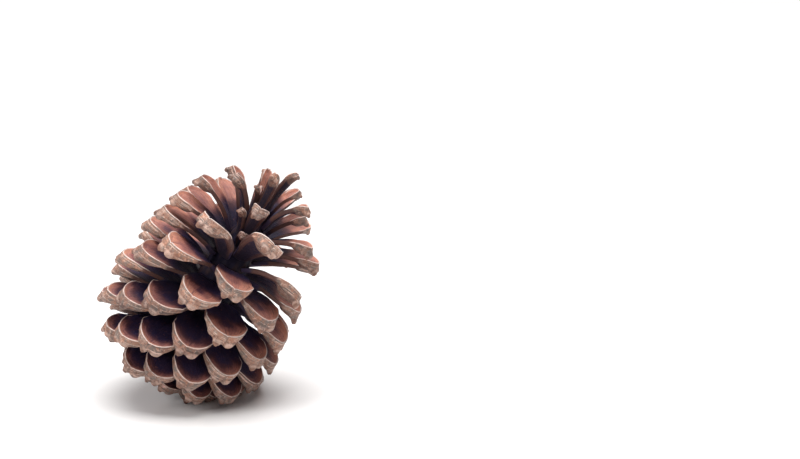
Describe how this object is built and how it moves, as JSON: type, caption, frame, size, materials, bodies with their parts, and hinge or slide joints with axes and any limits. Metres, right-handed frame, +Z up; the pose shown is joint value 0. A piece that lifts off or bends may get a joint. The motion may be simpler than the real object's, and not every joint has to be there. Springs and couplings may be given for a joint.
{
  "type": "pine cone",
  "caption": "Open, dry pine cone lying tilted on its lowest scales: thick-ended woody scales spiral up a central axis to a loose, spreading tip.",
  "frame": {"origin": "on the ground, under the centre of the lying cone's bounding box", "axes": "+Z up from the ground the cone lies on; the cone's tip leans up and towards +X; -Y is the side with the fullest view of the scales"},
  "size_m": [0.0648, 0.0554, 0.0682],
  "materials": {
    "scale": "dry, matt red-brown woody scale with a pale rim and a grey-tan thick end",
    "cone_axis": "dry, matt dark brown woody axis"
  },
  "bodies": {
    "root": {"cone_axis": "cone_axis", "scale_01": "scale", "scale_02": "scale", "scale_03": "scale", "scale_04": "scale", "scale_05": "scale", "scale_06": "scale", "scale_07": "scale", "scale_08": "scale", "scale_09": "scale", "scale_10": "scale", "scale_11": "scale", "scale_12": "scale", "scale_13": "scale", "scale_14": "scale", "scale_15": "scale", "scale_16": "scale", "scale_17": "scale", "scale_18": "scale", "scale_19": "scale", "scale_20": "scale", "scale_21": "scale", "scale_22": "scale", "scale_23": "scale", "scale_24": "scale", "scale_25": "scale", "scale_26": "scale", "scale_27": "scale", "scale_28": "scale", "scale_29": "scale", "scale_30": "scale", "scale_31": "scale", "scale_32": "scale", "scale_33": "scale", "scale_34": "scale", "scale_35": "scale", "scale_36": "scale", "scale_37": "scale", "scale_38": "scale", "scale_39": "scale", "scale_40": "scale", "scale_41": "scale", "scale_42": "scale", "scale_43": "scale", "scale_44": "scale", "scale_45": "scale", "scale_46": "scale", "scale_47": "scale", "scale_48": "scale", "scale_49": "scale", "scale_50": "scale", "scale_51": "scale", "scale_52": "scale", "scale_53": "scale", "scale_54": "scale", "scale_55": "scale", "scale_56": "scale", "scale_57": "scale", "scale_58": "scale", "scale_59": "scale"}
  },
  "joints": []
}
